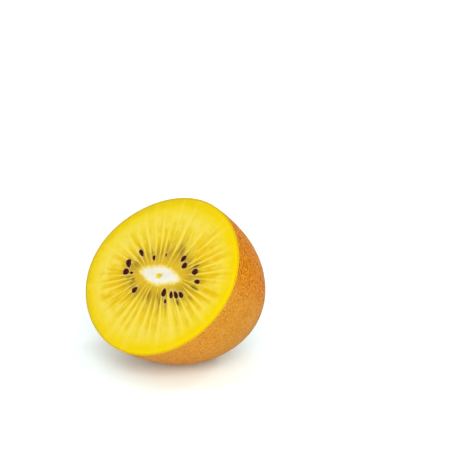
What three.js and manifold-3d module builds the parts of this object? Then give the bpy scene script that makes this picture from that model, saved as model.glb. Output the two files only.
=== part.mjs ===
import * as THREE from "three";
import { mergeVertices } from "three/addons/utils/BufferGeometryUtils.js";
import Module from "manifold-3d";

// Half of a golden kiwi fruit, cut straight across its middle and lying on its side.
// Millimetres, +Z up. The fruit grew as one piece, so it is one solid: skin, flesh, pale core and
// the seeds that stand out of the cut. The origin is the centre of the small flat spot it lies on.
//
// The fruit is first drawn in a frame of its own: the cut is the plane z = 0, facing +z, with its
// centre at the origin, its wider diameter along x, and the stem end straight below.

// Driving dimensions of the fruit
const WIDE_RADIUS = 27;
const NARROW_RADIUS = 23.8;
const HALF_LENGTH = 35;
const SKIN_THICKNESS = 0.5;

// How the sides curve in from the cut to the stem end
const WIDEST_ABOVE_CUT = 0.18; // as a share of the half's length
const SIDE_POWER = 2.6;
const END_POWER = 2.2;

// The cross-section is a little uneven: lobes, share of the radius and where the first lobe lies
const UNEVENNESS = [
  { lobes: 3, share: 0.0092, turn: degrees(130.6) },
  { lobes: 4, share: 0.006, turn: degrees(-90) },
];

// The pale core, turned a little from the wider diameter, and the small pit in it
const CORE_WIDE_RADIUS = 7;
const CORE_NARROW_RADIUS = 2.4;
const CORE_TURN = degrees(-8.7);
const CORE_RISE = 0.25;
const PIT = { along: -0.15, across: -0.33, wide: 1.2, narrow: 0.8, depth: 0.6, flat_share: 0.4 };

// The seed chambers, which fan out from the core as shallow grooves between pale ribs
const CHAMBERS = 40;
const GROOVE_DEPTH = 0.3;
const GROOVES_FULL_BY = 0.06; // shares of the way from the core to the skin
const GROOVES_FADE_FROM = 0.42;
const GROOVES_END = 0.8;
const EDGE_DROP = 0.3; // the flesh rounds down to the skin over its last stretch
const EDGE_STARTS = 0.93;

// Seeds laid open by the knife: the angle in degrees from the +x side towards +y, the chamber that
// each lies in, the distance from the core's edge to the seed's middle, and its length and width
const SEED_THICKNESS = 1.3;
const SEED_RISE = 0.35;
const SEED_POINT = 0.3; // how much the end towards the core narrows
const SEEDS = [
  { angle: 3, chamber: 0, from_core: 5.2, long: 2.2, wide: 1.9 },
  { angle: 29, chamber: 3, from_core: 2.8, long: 2.2, wide: 1.7 },
  { angle: 44, chamber: 5, from_core: 4.2, long: 2.4, wide: 1.5 },
  { angle: 81, chamber: 9, from_core: 3.6, long: 1.9, wide: 0.8 },
  { angle: 105, chamber: 12, from_core: 2.9, long: 2, wide: 1.1 },
  { angle: 126, chamber: 14, from_core: 6.1, long: 2.7, wide: 1.4 },
  { angle: 153, chamber: 17, from_core: 6.5, long: 2.4, wide: 2.1 },
  { angle: 169, chamber: 19, from_core: 5.8, long: 2.2, wide: 2 },
  { angle: 170, chamber: 19, from_core: 3.6, long: 1.6, wide: 0.9 },
  { angle: 217, chamber: 24, from_core: 4.3, long: 2.3, wide: 1.6 },
  { angle: 280, chamber: 31, from_core: 2.8, long: 2.5, wide: 1.7 },
  { angle: 282, chamber: 31, from_core: 5.5, long: 1.7, wide: 0.8 },
  { angle: 294, chamber: 32, from_core: 4, long: 2.4, wide: 1.2 },
  { angle: 302, chamber: 33, from_core: 4.5, long: 2.5, wide: 1.4 },
  { angle: 310, chamber: 34, from_core: 5.3, long: 2.4, wide: 1.3 },
  { angle: 344, chamber: 38, from_core: 6.6, long: 2.1, wide: 1.3 },
];

// The stem end: a shallow hollow with the round scar of the stalk in it
const HOLLOW_RADIUS = 5;
const HOLLOW_DEPTH = 1.3;
const SCAR_RADIUS = 2.3;
const SCAR_RISE = 0.5;
const SCAR_EDGE = 0.6;
const ROUND_SCAR = 0.8; // the width of the bare ring about it

// How the half lies: the cut leans back from level, the fruit is turned a little about its own
// axis, and the middle of the cut is this far from the middle of the flat spot
const LEAN = degrees(54.8);
const TURN = degrees(19.1);
const CUT_CENTRE = new THREE.Vector3(1, -11, 28.6);

// Fineness: points round each ring, and how far out each ring of the cut lies, as a share of the
// core's radius and then of the way from the core's edge to the skin
const SKIN_POINTS = 72;
const CHAMBER_POINTS = 4;
const SCAR_POINTS = 18;
const CORE_RINGS = [
  { share: 0.12, points: 18 },
  { share: 0.25, points: 36 },
  { share: 0.5, points: 36 },
  { share: 0.75, points: 36 },
];
const FLESH_RINGS = [0, 0.06, 0.13, 0.21, 0.3, 0.4, 0.5, 0.61, 0.72, 0.83, 0.93, 0.965];
const SKIN_RINGS = 23;
const LAST_SKIN_RING = degrees(82.5); // 90 degrees would be the tip of the stem end
const STEM_END_FROM = degrees(76); // from here on a ring needs only half the points
const SEED_SIDES = 8;
const MERGE_WITHIN = 1e-4;

const COLOURS = { skin: 0xa8702a, flesh: 0xf2d83e, core: 0xf3eedd, seed: 0x2e1110 };
const FLESH_TOP = 0.02; // only seeds stand higher than this above the flesh
const ROUGHNESS = 0.55;

function degrees(angle) {
  return (angle * Math.PI) / 180;
}

const { euclideanModulo, radToDeg, smoothstep } = THREE.MathUtils;

// A point of the cut's outline, or of the core's, at an angle in the cut's plane
function outline(angle) {
  const uneven = UNEVENNESS.reduce(
    (sum, { lobes, share, turn }) => sum + share * Math.cos(lobes * angle - turn),
    1,
  );
  return new THREE.Vector2(
    WIDE_RADIUS * uneven * Math.cos(angle),
    NARROW_RADIUS * uneven * Math.sin(angle),
  );
}

function coreOutline(angle) {
  return new THREE.Vector2(
    CORE_WIDE_RADIUS * Math.cos(angle - CORE_TURN),
    CORE_NARROW_RADIUS * Math.sin(angle - CORE_TURN),
  ).rotateAround(new THREE.Vector2(), CORE_TURN);
}

// A point of the cut, measured along the core and across it
function inCore(point) {
  return point.clone().rotateAround(new THREE.Vector2(), -CORE_TURN);
}

// The count of chambers at an angle, which is whole in the middle of each. Every seed lies in the
// middle of its own, so the chambers crowd or spread a little from one seed to the next.
function chamberCount(angle) {
  const start = SEEDS[0].angle;
  const turned = start + euclideanModulo(radToDeg(angle) - start, 360);
  const rows = [...SEEDS, { angle: start + 360, chamber: CHAMBERS }];
  const next = rows.findIndex((row) => row.angle > turned);
  const [from, to] = [rows[next - 1], rows[next]];
  const share = (turned - from.angle) / (to.angle - from.angle);
  return from.chamber + (to.chamber - from.chamber) * share;
}

// Height of the cut's surface over the plane of the cut, outside the core. The way out runs from
// 0 at the core's edge to 1 at the skin.
function fleshHeight(angle, wayOut) {
  const groove = 0.5 + 0.5 * Math.cos(2 * Math.PI * chamberCount(angle));
  const depth =
    GROOVE_DEPTH *
    smoothstep(wayOut, 0, GROOVES_FULL_BY) *
    (1 - smoothstep(wayOut, GROOVES_FADE_FROM, GROOVES_END));
  const edge = EDGE_DROP * smoothstep(wayOut, EDGE_STARTS, 1) ** 2;
  return -depth * groove - edge;
}

// Height of the core's surface, domed a little and holed by the pit
function coreHeight(point, wayOut) {
  const { x, y } = inCore(point);
  const fromPit = Math.hypot((x - PIT.along) / PIT.wide, (y - PIT.across) / PIT.narrow);
  return CORE_RISE * (1 - wayOut ** 2) - PIT.depth * (1 - smoothstep(fromPit, PIT.flat_share, 1));
}

// Radius of the fruit at a depth below the cut, as a share of its radius at the cut
function girth(depthShare) {
  const curve = (share) => {
    const along = (share + WIDEST_ABOVE_CUT) / (1 + WIDEST_ABOVE_CUT);
    return (1 - along ** SIDE_POWER) ** (1 / END_POWER);
  };
  return curve(Math.min(depthShare, 1)) / curve(0);
}

// How far the stem end's surface lies above the plain curve, at a distance from the axis
function stemRelief(distance) {
  const hollow = HOLLOW_DEPTH * Math.exp(-((distance / HOLLOW_RADIUS) ** 2));
  const scar = SCAR_RISE * (1 - smoothstep(distance, SCAR_RADIUS - SCAR_EDGE, SCAR_RADIUS));
  return hollow - scar;
}

// A ring of points, one for each equal step of angle
function ring(count, pointAt) {
  return Array.from({ length: count }, (_, k) => pointAt((2 * Math.PI * k) / count));
}

function coreRings() {
  return CORE_RINGS.map(({ share, points }) =>
    ring(points, (angle) => {
      const flat = coreOutline(angle).multiplyScalar(share);
      return new THREE.Vector3(flat.x, flat.y, coreHeight(flat, share));
    }),
  );
}

function fleshRings() {
  const fine = CHAMBERS * CHAMBER_POINTS;
  return FLESH_RINGS.map((wayOut) =>
    ring(wayOut > GROOVES_END ? SKIN_POINTS : fine, (angle) => {
      const flat = coreOutline(angle).lerp(outline(angle), wayOut);
      return new THREE.Vector3(flat.x, flat.y, fleshHeight(angle, wayOut));
    }),
  );
}

// The skin's cut edge, then the outside of the fruit from the cut down to the stem end
function skinRings() {
  const edge = ring(SKIN_POINTS, (angle) => {
    const flat = outline(angle).multiplyScalar(1 - SKIN_THICKNESS / WIDE_RADIUS);
    return new THREE.Vector3(flat.x, flat.y, -EDGE_DROP);
  });
  const rings = [edge];
  for (let k = 0; k < SKIN_RINGS; k++) {
    const turn = LAST_SKIN_RING * (k / (SKIN_RINGS - 1));
    const depthShare = Math.sin(turn);
    const share = girth(depthShare);
    const count = turn > STEM_END_FROM ? SKIN_POINTS / 2 : SKIN_POINTS;
    rings.push(
      ring(count, (angle) => {
        const flat = outline(angle).multiplyScalar(share);
        const z = -EDGE_DROP - (HALF_LENGTH - EDGE_DROP) * depthShare;
        return new THREE.Vector3(flat.x, flat.y, z + stemRelief(flat.length()));
      }),
    );
  }
  return rings;
}

// The round scar's own rings, which are closer together than the skin's
function scarRings() {
  const top = SCAR_RADIUS - SCAR_EDGE;
  return [SCAR_RADIUS + ROUND_SCAR, SCAR_RADIUS, top, top / 2].map((radius) =>
    ring(SCAR_POINTS, (angle) => {
      const z = -HALF_LENGTH + stemRelief(radius);
      return new THREE.Vector3(radius * Math.cos(angle), radius * Math.sin(angle), z);
    }),
  );
}

// Joins rings of points, whose counts may differ, and a point at each end into a closed solid
function solidOfRings(wasm, first, rings, last) {
  const points = [first, ...rings.flat(), last];
  const triangles = [];
  let start = 1;
  const starts = rings.map((r) => {
    start += r.length;
    return start - r.length;
  });
  const index = (r, k) => starts[r] + (k % rings[r].length);
  rings[0].forEach((_, k) => triangles.push(0, index(0, k), index(0, k + 1)));
  for (let r = 0; r + 1 < rings.length; r++) {
    const [inner, outer] = [rings[r].length, rings[r + 1].length];
    for (let i = 0, j = 0; i < inner || j < outer; ) {
      if (j === outer || (i < inner && (i + 1) / inner <= (j + 1) / outer)) {
        triangles.push(index(r, i), index(r + 1, j), index(r, i + 1));
        i++;
      } else {
        triangles.push(index(r, i), index(r + 1, j), index(r + 1, j + 1));
        j++;
      }
    }
  }
  const end = rings.length - 1;
  rings[end].forEach((_, k) => triangles.push(index(end, k), points.length - 1, index(end, k + 1)));
  return new wasm.Manifold(
    new wasm.Mesh({
      numProp: 3,
      vertProperties: new Float32Array(points.flatMap((p) => p.toArray())),
      triVerts: new Uint32Array(triangles),
    }),
  );
}

// A three.js geometry as a solid that manifold-3d can join and cut
function solidOf(wasm, geometry) {
  const bare = geometry.clone();
  bare.deleteAttribute("normal");
  bare.deleteAttribute("uv");
  const merged = mergeVertices(bare, MERGE_WITHIN);
  return new wasm.Manifold(
    new wasm.Mesh({
      numProp: 3,
      vertProperties: merged.attributes.position.array,
      triVerts: new Uint32Array(merged.index.array),
    }),
  );
}

// Where a seed lies in the cut's plane, and the way its chamber runs outwards
function seedPlace(seed) {
  const edge = coreOutline(degrees(seed.angle));
  const outwards = outline(degrees(seed.angle)).sub(edge).normalize();
  return { place: edge.addScaledVector(outwards, seed.from_core), outwards };
}

// A seed: a flat drop whose point is towards the core, sunk in the flesh by most of its thickness
function seedGeometry(seed) {
  const geometry = new THREE.SphereGeometry(0.5, SEED_SIDES, SEED_SIDES - 2);
  geometry.rotateZ(Math.PI / 2);
  const { position } = geometry.attributes;
  for (let k = 0; k < position.count; k++) {
    const along = position.getX(k);
    const narrow = 1 + SEED_POINT * along * 2;
    position.setXYZ(k, along, position.getY(k) * narrow, position.getZ(k) * narrow);
  }
  geometry.scale(seed.long, seed.wide, SEED_THICKNESS);
  const { place, outwards } = seedPlace(seed);
  geometry.rotateZ(outwards.angle());
  geometry.translate(place.x, place.y, SEED_RISE - SEED_THICKNESS / 2);
  return geometry;
}

// The block above the surface that the half lies on: trimming to it leaves the flat spot
function aboveSurface(wasm) {
  const side = 4 * WIDE_RADIUS;
  return solidOf(wasm, new THREE.BoxGeometry(side, side, side).translate(0, 0, side / 2));
}

// The fruit's own frame in the part's frame
function placing() {
  const turned = new THREE.Matrix4().makeRotationZ(TURN);
  const leaned = new THREE.Matrix4().makeRotationX(LEAN);
  return leaned.multiply(turned).setPosition(CUT_CENTRE);
}

// Colour of the surface at a point in the fruit's own frame
function colourAt(point) {
  const flat = new THREE.Vector2(point.x, point.y);
  const angle = Math.atan2(flat.y / NARROW_RADIUS, flat.x / WIDE_RADIUS);
  const toSkin = flat.length() / outline(angle).length();
  if (point.z < -EDGE_DROP || toSkin > 1 - SKIN_THICKNESS / WIDE_RADIUS) return COLOURS.skin;
  const { x, y } = inCore(flat);
  if (Math.hypot(x / CORE_WIDE_RADIUS, y / CORE_NARROW_RADIUS) < 1) return COLOURS.core;
  return point.z > FLESH_TOP ? COLOURS.seed : COLOURS.flesh;
}

// A solid as a three.js geometry, each triangle in the colour of its middle
function paintedGeometry(solid, toFruit) {
  const { vertProperties, triVerts, numProp } = solid.getMesh();
  const positions = [];
  const colours = [];
  const corner = (vertex) =>
    new THREE.Vector3().fromArray(vertProperties, vertex * numProp);
  for (let t = 0; t < triVerts.length; t += 3) {
    const corners = [...triVerts.subarray(t, t + 3)].map(corner);
    const middle = new THREE.Triangle(...corners).getMidpoint(new THREE.Vector3());
    const colour = new THREE.Color(colourAt(middle.applyMatrix4(toFruit)));
    for (const point of corners) {
      positions.push(...point);
      colours.push(...colour);
    }
  }
  const geometry = new THREE.BufferGeometry();
  geometry.setAttribute("position", new THREE.Float32BufferAttribute(positions, 3));
  geometry.setAttribute("color", new THREE.Float32BufferAttribute(colours, 3));
  geometry.computeVertexNormals();
  return geometry;
}

function halfKiwi(wasm) {
  const middleOfCore = new THREE.Vector3(0, 0, coreHeight(new THREE.Vector2(), 0));
  const stemEnd = new THREE.Vector3(0, 0, -HALF_LENGTH + stemRelief(0));
  const rings = [...coreRings(), ...fleshRings(), ...skinRings(), ...scarRings()];
  const fruit = solidOfRings(wasm, middleOfCore, rings, stemEnd);
  const seeded = SEEDS.reduce(
    (joined, seed) => joined.add(solidOf(wasm, seedGeometry(seed))),
    fruit,
  );
  const place = placing();
  const placed = seeded.transform(place.elements).intersect(aboveSurface(wasm));
  const mesh = new THREE.Mesh(
    paintedGeometry(placed, place.clone().invert()),
    new THREE.MeshStandardMaterial({ vertexColors: true, roughness: ROUGHNESS, metalness: 0 }),
  );
  mesh.name = "half_kiwi";
  return mesh;
}

const wasm = await Module();
wasm.setup();

const part = new THREE.Group();
part.name = "golden_kiwi_half";
part.add(halfKiwi(wasm));

export default part;
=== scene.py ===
# The looks of half a golden kiwi fruit, lying on its side with the cut facing up and forward.
# Sizes are in millimetres unless a name says otherwise, and meshes are made in metres.

import math
from types import SimpleNamespace

import bpy
import numpy as np
from mathutils import Matrix, Vector


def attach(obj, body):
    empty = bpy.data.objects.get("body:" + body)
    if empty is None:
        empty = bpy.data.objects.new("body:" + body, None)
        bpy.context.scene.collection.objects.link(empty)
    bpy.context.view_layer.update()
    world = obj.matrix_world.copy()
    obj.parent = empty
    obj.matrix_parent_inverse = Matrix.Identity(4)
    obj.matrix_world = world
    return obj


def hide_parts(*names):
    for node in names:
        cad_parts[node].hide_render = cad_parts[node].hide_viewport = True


MM = 0.001

# Driving dimensions, the same as the solid's. The fruit's own frame has the cut in the plane
# z = 0, facing +z, its wider diameter along x, and the stem end straight below.
WIDE_RADIUS = 27
NARROW_RADIUS = 23.8
HALF_LENGTH = 35
WIDEST_ABOVE_CUT = 0.18
SIDE_POWER = 2.6
END_POWER = 2.2
UNEVENNESS = [(3, 0.0092, math.radians(130.6)), (4, 0.006, math.radians(-90))]
CORE_WIDE_RADIUS = 7
CORE_NARROW_RADIUS = 2.4
CORE_TURN = math.radians(-8.7)
CORE_RISE = 0.25
CHAMBERS = 40
EDGE_DROP = 0.3
EDGE_STARTS = 0.93
HOLLOW_RADIUS = 5
HOLLOW_DEPTH = 1.3
SCAR_RADIUS = 2.3
LEAN = math.radians(54.8)
TURN = math.radians(19.1)
CUT_CENTRE = Vector((1, -11, 28.6))

# The skin: its thickness, how finely it is divided, and the gap that keeps the flesh off its inside
SKIN_THICKNESS = 0.26
SKIN_GAP = 0.04
SKIN_RINGS = 170
SKIN_COLUMNS = 576
NARROWEST_STEP = 0.168
LAST_RING_TURN = math.radians(88.5)
INNER_COLUMNS = 72
INNER_RING_EVERY = 8
RINGS_WITHOUT_RELIEF = 6

# The skin's relief: how wide its pebbles and the cells of its flecks are, and all heights
PEBBLE_WIDTH = 0.55
FLECK_CELL = 1.0
PEBBLE_RISE = 0.04
UPPER_SIDE_PEBBLE_RISE = 0.06
FLECK_RISE = 0.04
SWELL_HEIGHT = 0.35
DENT_HEIGHT = 0.12
GRAIN_HEIGHT = 0.05

# The white of the core is a lens, a little bent: its ends turn aside, and two opposite sides are trimmed
WHITE = {
    "across": -0.1,
    "turn": math.radians(-6),
    "wide": 7.7,
    "narrow": 2.5,
    "end_bend": 1,
    "pointed": 1.25,
    "trim": 0.4,
}

# The flesh: how finely it is divided, how far it keeps off the floor, and its relief
FLESH_COLUMNS = 720
CORE_RINGS = 22
FLESH_RINGS = 84
WALL_RINGS = 30
FLESH_OFF_FLOOR = 0.2
GROOVE_DEPTH = 0.15
LUMP_HEIGHT = 0.1
SOCKET_DEPTH = 0.16
SOCKET_REACH = 0.5
PIT = {"along": -0.15, "across": -0.33, "wide": 1.35, "narrow": 1, "depth": 0.35}
SIDE_PIT = {"along": 0.95, "across": 0.3, "wide": 0.6, "narrow": 0.4, "depth": 0.12}
SIDE_PIT_TINT = 0.45

# Seeds laid open by the knife: the angle in degrees from the +x side towards +y, the chamber that
# each lies in, the distance from the core's edge to the seed's middle, its length and width, how
# far it stands out of the solid, and any twist in degrees out of its chamber's line. Here all of
# them sit lower by SEED_SINK.
SEED_THICKNESS = 1.3
SEED_SINK = 0.12
SEED_SIDES = 28
SEED_STEPS = 18
SEEDS = [
    {"angle": 3, "chamber": 0, "from_core": 5.2, "long": 2.2, "wide": 1.9, "rise": 0.42},
    {"angle": 29, "chamber": 3, "from_core": 2.8, "long": 2.2, "wide": 1.7, "rise": 0.42},
    {"angle": 44, "chamber": 5, "from_core": 4.2, "long": 2.4, "wide": 1.5, "rise": 0.38},
    {"angle": 81, "chamber": 9, "from_core": 3.6, "long": 1.5, "wide": 0.55, "rise": 0.12},
    {"angle": 105, "chamber": 12, "from_core": 2.9, "long": 2, "wide": 1.1, "rise": 0.3},
    {"angle": 126, "chamber": 14, "from_core": 6.1, "long": 2.7, "wide": 1.2, "rise": 0.4},
    {"angle": 153, "chamber": 17, "from_core": 6.4, "long": 2.7, "wide": 1.8, "rise": 0.42, "twist": -45},
    {"angle": 169, "chamber": 19, "from_core": 5.8, "long": 2.2, "wide": 2, "rise": 0.42},
    {"angle": 170, "chamber": 19, "from_core": 3.6, "long": 1.6, "wide": 0.9, "rise": 0.2},
    {"angle": 217, "chamber": 24, "from_core": 4.3, "long": 2.3, "wide": 1.6, "rise": 0.4},
    {"angle": 280, "chamber": 31, "from_core": 2.8, "long": 2.7, "wide": 1.6, "rise": 0.42, "twist": -14},
    {"angle": 282, "chamber": 31, "from_core": 5.5, "long": 1.7, "wide": 0.8, "rise": 0.18},
    {"angle": 294, "chamber": 32, "from_core": 3.9, "long": 2.5, "wide": 1.2, "rise": 0.32, "twist": -14},
    {"angle": 302, "chamber": 33, "from_core": 4.5, "long": 2.8, "wide": 1.3, "rise": 0.36},
    {"angle": 310, "chamber": 34, "from_core": 5.3, "long": 2.4, "wide": 1.3, "rise": 0.34},
    {"angle": 344, "chamber": 38, "from_core": 6.6, "long": 2.1, "wide": 1.3, "rise": 0.36},
]

# Seeds that lie under the surface and only tint it: place, length, width and strength
SUNKEN_SEEDS = [
    {"angle": 13.4, "from_core": 6, "long": 2, "wide": 0.6, "strength": 1},
    {"angle": 55, "from_core": 6.3, "long": 2.6, "wide": 0.8, "strength": 0.6},
    {"angle": 58, "from_core": 8.6, "long": 3.2, "wide": 0.5, "strength": 0.5},
    {"angle": 61.5, "from_core": 6.7, "long": 2.8, "wide": 0.8, "strength": 0.6},
    {"angle": 142, "from_core": 3.4, "long": 2.2, "wide": 0.6, "strength": 0.5},
    {"angle": 148.5, "from_core": 3.7, "long": 2.6, "wide": 0.5, "strength": 0.7},
    {"angle": 148.5, "from_core": 6.9, "long": 1.2, "wide": 0.9, "strength": 1},
    {"angle": 182, "from_core": 4.5, "long": 2, "wide": 0.45, "strength": 0.7},
    {"angle": 191, "from_core": 2.9, "long": 1.2, "wide": 0.7, "strength": 0.9},
    {"angle": 199, "from_core": 3.5, "long": 1.6, "wide": 0.5, "strength": 0.6},
    {"angle": 251, "from_core": 3.8, "long": 2.4, "wide": 0.9, "strength": 0.6},
    {"angle": 267, "from_core": 3.8, "long": 1.8, "wide": 0.6, "strength": 0.4},
    {"angle": 273, "from_core": 5.7, "long": 2, "wide": 0.6, "strength": 0.4},
    {"angle": 301, "from_core": 7.1, "long": 2.2, "wide": 0.8, "strength": 1},
    {"angle": 319, "from_core": 8.4, "long": 2, "wide": 0.7, "strength": 0.5},
    {"angle": 333, "from_core": 7.1, "long": 2.8, "wide": 0.8, "strength": 1},
]

# The view of the photograph: the cut's centre is seen from this side, this far away, and lands on
# this pixel of the square picture
VIEW_AZIMUTH = math.radians(44.5)
VIEW_ELEVATION = math.radians(20)
VIEW_DISTANCE = 520
PICTURE_SIDE = 458
CENTRE_PIXEL = (159.8, 274.9)
FOCAL_PIXELS = 1817
SENSOR_WIDTH = 36

# Colours of the flesh, its chambers and its core, as linear red, green and blue
FLESH = {
    "outer": (0.69, 0.527, 0.026),
    "outer_pale": (0.71, 0.57, 0.078),
    "outer_fleck": (0.724, 0.583, 0.103),
    "rim": (0.705, 0.515, 0.0),
    # Painted shade on the rim's upper left side
    "painted_shade_rim": (0.62, 0.455, 0.0),
    "by_skin": (0.6, 0.35, 0.002),
    "deep_gel": (0.367, 0.23, 0.015),
    "deep_streak": (0.451, 0.291, 0.0141),
    "light_gel": (0.6, 0.4, 0.003),
    "light_streak": (0.67, 0.475, 0.008),
    "gel_aside": (0.62, 0.375, 0.0),
    "gel_by_core": (0.583, 0.376, 0.015),
    "gel_fleck": (0.573, 0.348, 0.0028),
    "ground_by_core": (0.63, 0.425, 0.025),
    "wash": (0.66, 0.43, 0.0),
    "rib_by_core": (0.66, 0.455, 0.045),
    "rib": (0.725, 0.545, 0.055),
    "vein": (0.745, 0.585, 0.09),
    "sunken_seed": (0.1, 0.04, 0.012),
    "jelly": (0.649, 0.526, 0.301),
    "core_edge": (0.705, 0.583, 0.15),
    "white_fibre": (0.68, 0.632, 0.505),
    "white": (0.735, 0.7, 0.64),
    "pit_edge": (0.677, 0.583, 0.226),
    "pit": (0.696, 0.545, 0.015),
}

# Colours of the skin's tan side, its upper side, which is partly blush and partly painted shade, and its
# bronze side
SKIN = {
    "tan": (0.54, 0.2, 0.012),
    "light_tan": (0.56, 0.235, 0.024),
    # Painted light: the tan lit from below by the floor
    "tan_painted_floor_light": (0.62, 0.238, 0.024),
    "dark_tan": (0.43, 0.14, 0.009),
    "tan_gap": (0.4, 0.13, 0.008),
    "tan_pebble": (0.71, 0.33, 0.048),
    "tan_grain": (0.64, 0.29, 0.034),
    # Upper side: partly blush, partly painted shade where the skin reflects less light
    "blush": (0.56, 0.162, 0.0),
    "light_blush_and_shade": (0.57, 0.192, 0.001),
    "blush_and_shade_gap": (0.33, 0.072, 0.0),
    "blush_and_shade_pebble": (0.78, 0.335, 0.008),
    "dark_blush_and_shade": (0.38, 0.095, 0.0),
    "bronze": (0.29, 0.125, 0.012),
    "light_bronze": (0.35, 0.145, 0.028),
    "dark_bronze": (0.21, 0.078, 0.013),
    "bronze_pebble": (0.45, 0.22, 0.05),
    "bronze_grain": (0.48, 0.24, 0.07),
    "fleck": (0.66, 0.38, 0.12),
    "stem_end": (0.3, 0.12, 0.014),
    "by_scar": (0.2, 0.085, 0.022),
    "cut_edge": (0.66, 0.42, 0.008),
}

# Colours of the seeds and of the stem scar
SEED = {"dark": (0.024, 0.001, 0.002), "light": (0.045, 0.003, 0.004), "patch": (0.05, 0.006, 0.005)}
SCAR = {"dark": (0.06, 0.022, 0.008), "light": (0.26, 0.11, 0.03), "fibre": (0.46, 0.26, 0.1)}

# The studio, in metres and watts. The floor is a little blue, against the orange light that the fruit
# throws on it, and its faint warm glow keeps the shadow from turning blue. The third lamp keeps the
# floor behind the fruit white.
WORLD_STRENGTH = 0.78
FLOOR_REACH = 4.0
FLOOR_COLOUR = (0.85, 0.98, 1.0, 1)
FLOOR_GLOW = (0.97, 0.84, 0.62, 1)
FLOOR_GLOW_STRENGTH = 0.11
LAMPS = [
    {"name": "key", "place": (0.64, -0.57, 0.6), "aim": (0, 0, 0.02), "size": 0.65, "power": 7.3},
    {"name": "behind", "place": (0.35, 0.9, 0.7), "aim": (0, 0, 0.02), "size": 0.25, "power": 2.2},
    {"name": "far_floor", "place": (-0.45, 0.3, 0.5), "aim": (-0.45, 0.3, 0), "size": 0.3, "power": 0.4},
]


# Shape of the fruit, in its own frame


def smoothstep(value, low, high):
    """Smooth step of an array from 0 at low to 1 at high, which may be the lower of the two."""
    share = np.clip((value - low) / (high - low), 0, 1)
    return share * share * (3 - 2 * share)


def outline(angle):
    """The cut's outline, as an array of (x, y)."""
    uneven = 1 + sum(share * np.cos(lobes * angle - turn) for lobes, share, turn in UNEVENNESS)
    return np.stack([WIDE_RADIUS * uneven * np.cos(angle), NARROW_RADIUS * uneven * np.sin(angle)], -1)


def core_outline(angle):
    """The core's outline, as an array of (x, y)."""
    along = CORE_WIDE_RADIUS * np.cos(angle - CORE_TURN)
    across = CORE_NARROW_RADIUS * np.sin(angle - CORE_TURN)
    c, s = math.cos(CORE_TURN), math.sin(CORE_TURN)
    return np.stack([c * along - s * across, s * along + c * across], -1)


def girth(depth_share):
    """Radius of the fruit below the cut, as a share of its radius at the cut."""

    def curve(share):
        along = (share + WIDEST_ABOVE_CUT) / (1 + WIDEST_ABOVE_CUT)
        return (1 - along**SIDE_POWER) ** (1 / END_POWER)

    return curve(np.minimum(depth_share, 1)) / curve(0)


def stem_hollow(distance):
    """How far the shallow hollow at the stem end lifts the surface, at a distance from the axis."""
    return HOLLOW_DEPTH * np.exp(-((distance / HOLLOW_RADIUS) ** 2))


def angles(count):
    return np.arange(count) * 2 * math.pi / count


def seed_place(seed):
    """Where a seed lies in the cut, and the way it points outwards."""
    angle = math.radians(seed["angle"])
    edge = core_outline(angle)
    outwards = outline(angle) - edge
    outwards /= np.linalg.norm(outwards)
    twist = math.radians(seed.get("twist", 0))
    c, s = math.cos(twist), math.sin(twist)
    twisted = np.array([c * outwards[0] - s * outwards[1], s * outwards[0] + c * outwards[1]])
    return edge + seed["from_core"] * outwards, twisted


def seed_gap(points, seed):
    """Rough distance from points of the cut to a seed's outline, negative inside it."""
    place, outwards = seed_place(seed)
    offset = points - place
    along = offset @ outwards / (seed["long"] / 2)
    across = (offset[:, 1] * outwards[0] - offset[:, 0] * outwards[1]) / (seed["wide"] / 2)
    return (np.hypot(along, across) - 1) * min(seed["long"], seed["wide"]) / 2


def core_gap(points):
    """Rough distance from points of the cut to the edge of the core's white, negative inside it."""
    c, s = math.cos(WHITE["turn"]), math.sin(WHITE["turn"])
    along = (c * points[:, 0] + s * points[:, 1]) / WHITE["wide"]
    bend = WHITE["end_bend"] * np.clip(along, -1.2, 1.2) ** 3
    across = c * points[:, 1] - s * points[:, 0] - WHITE["across"] + bend
    trim = WHITE["trim"] * np.clip(np.abs(along), 0, 1) * (along * across > 0)
    across /= WHITE["narrow"] * (1 - trim)
    reach = np.sqrt(along**2 + np.abs(across) ** (2 / WHITE["pointed"]))
    slope = np.hypot(along / WHITE["wide"], across / WHITE["narrow"]) + 0.02
    return np.clip((reach - 1) * reach / slope, -3, 5)


def chamber_count(angle):
    """The count of chambers at an angle, which is whole in the middle of each. Every seed lies in the
    middle of its own, so the chambers crowd or spread a little from one seed to the next."""
    start = SEEDS[0]["angle"]
    turned = start + (np.degrees(angle) - start) % 360
    at = [seed["angle"] for seed in SEEDS] + [start + 360]
    return np.interp(turned, at, [seed["chamber"] for seed in SEEDS] + [CHAMBERS])


# Meshes from rings of points


def to_part():
    """The fruit's own frame in the part's frame, in millimetres."""
    leaned = Matrix.Rotation(LEAN, 4, "X")
    turned = Matrix.Rotation(TURN, 4, "Z")
    return Matrix.Translation(CUT_CENTRE) @ leaned @ turned


def placed(points, clear_of_floor=0.0):
    """Points of the fruit's own frame in the part's frame, in metres. None ends up lower above the
    floor than clear_of_floor, which is in millimetres."""
    matrix = np.array(to_part())
    moved = points @ matrix[:3, :3].T + matrix[:3, 3]
    moved[:, 2] = np.maximum(moved[:, 2], clear_of_floor)
    return moved * MM


def zipped(first, second):
    """Faces between two rings of point numbers, which may differ in count."""
    n, m = len(first), len(second)
    if n == m:
        onward = (np.arange(n) + 1) % n
        return np.stack([first, second, second[onward], first[onward]], -1).tolist()
    faces = []
    i = j = 0
    while i < n or j < m:
        if j == m or (i < n and (i + 1) / n <= (j + 1) / m):
            faces.append([first[i % n], second[j % m], first[(i + 1) % n]])
            i += 1
        else:
            faces.append([first[i % n], second[j % m], second[(j + 1) % m]])
            j += 1
    return faces


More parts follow.
